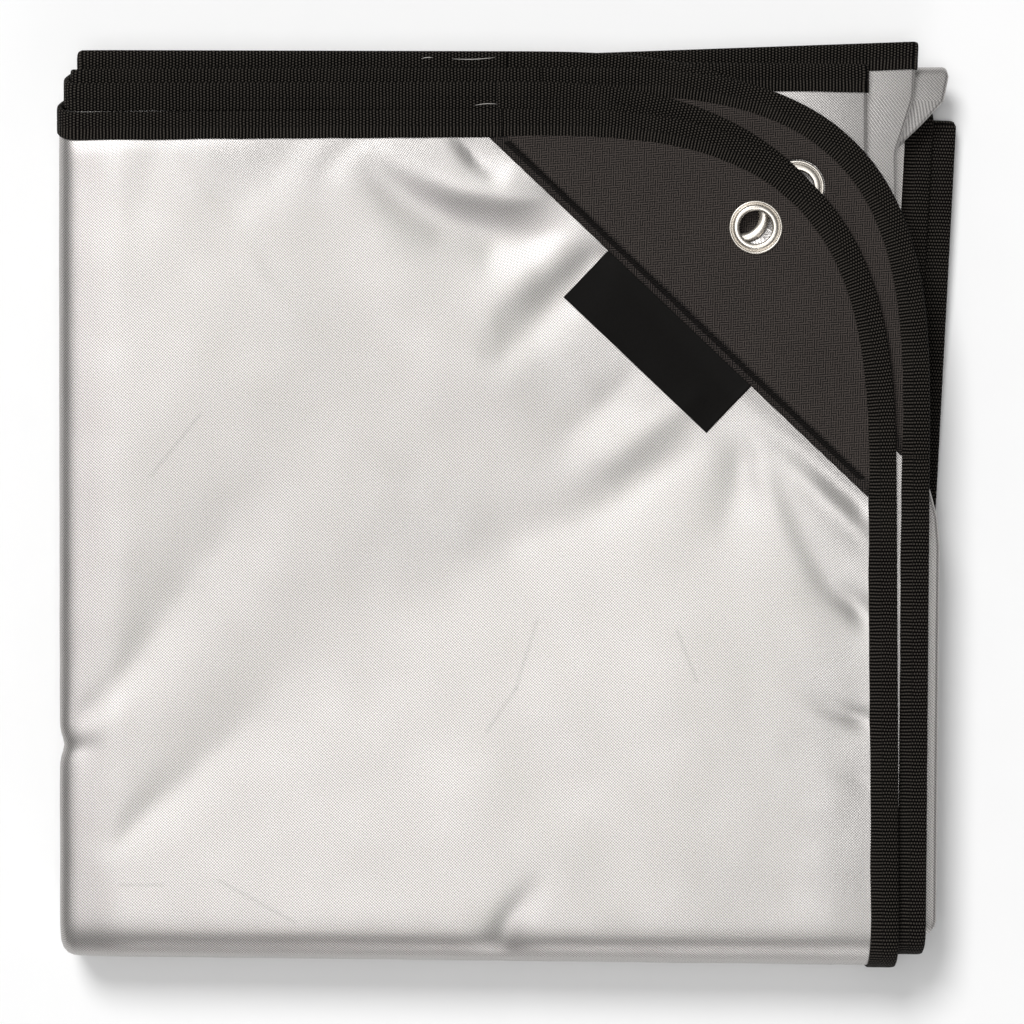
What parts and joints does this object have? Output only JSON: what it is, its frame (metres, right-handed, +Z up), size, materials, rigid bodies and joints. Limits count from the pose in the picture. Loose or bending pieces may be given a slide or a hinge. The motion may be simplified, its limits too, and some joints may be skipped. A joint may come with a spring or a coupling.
{
  "type": "folded drum set cover",
  "caption": "Dust cover of silver coated cloth for a drum set, folded into a square packet, with black bound edges, dark corner patches and metal eyelets.",
  "frame": {"origin": "middle of the packet's box, on the surface it rests on", "axes": "+Z up out of the packet, +Y to the edge with the bound upper edges, +X to the edge with the bound side edges"},
  "size_m": [0.4102, 0.421, 0.05],
  "materials": {
    "silver_cloth": "silver coated plain weave, satin",
    "black_webbing": "ribbed black tape",
    "dark_canvas": "dark plain weave",
    "nickel": "nickel plated",
    "black_satin": "blank woven satin"
  },
  "bodies": {
    "root": {"cloth": "silver_cloth", "binding_top_run": "black_webbing", "binding_under_run": "black_webbing", "binding_outer_side_run": "black_webbing", "binding_inner_side_run": "black_webbing", "binding_corner_1": "black_webbing", "binding_corner_2": "black_webbing", "binding_corner_3": "black_webbing", "binding_corner_4": "black_webbing", "patch_1": "dark_canvas", "patch_2": "dark_canvas", "patch_3": "dark_canvas", "patch_4": "dark_canvas", "eyelet_1": "nickel", "eyelet_2": "nickel", "eyelet_3": "nickel", "eyelet_4": "nickel", "label": "black_satin"}
  },
  "joints": []
}
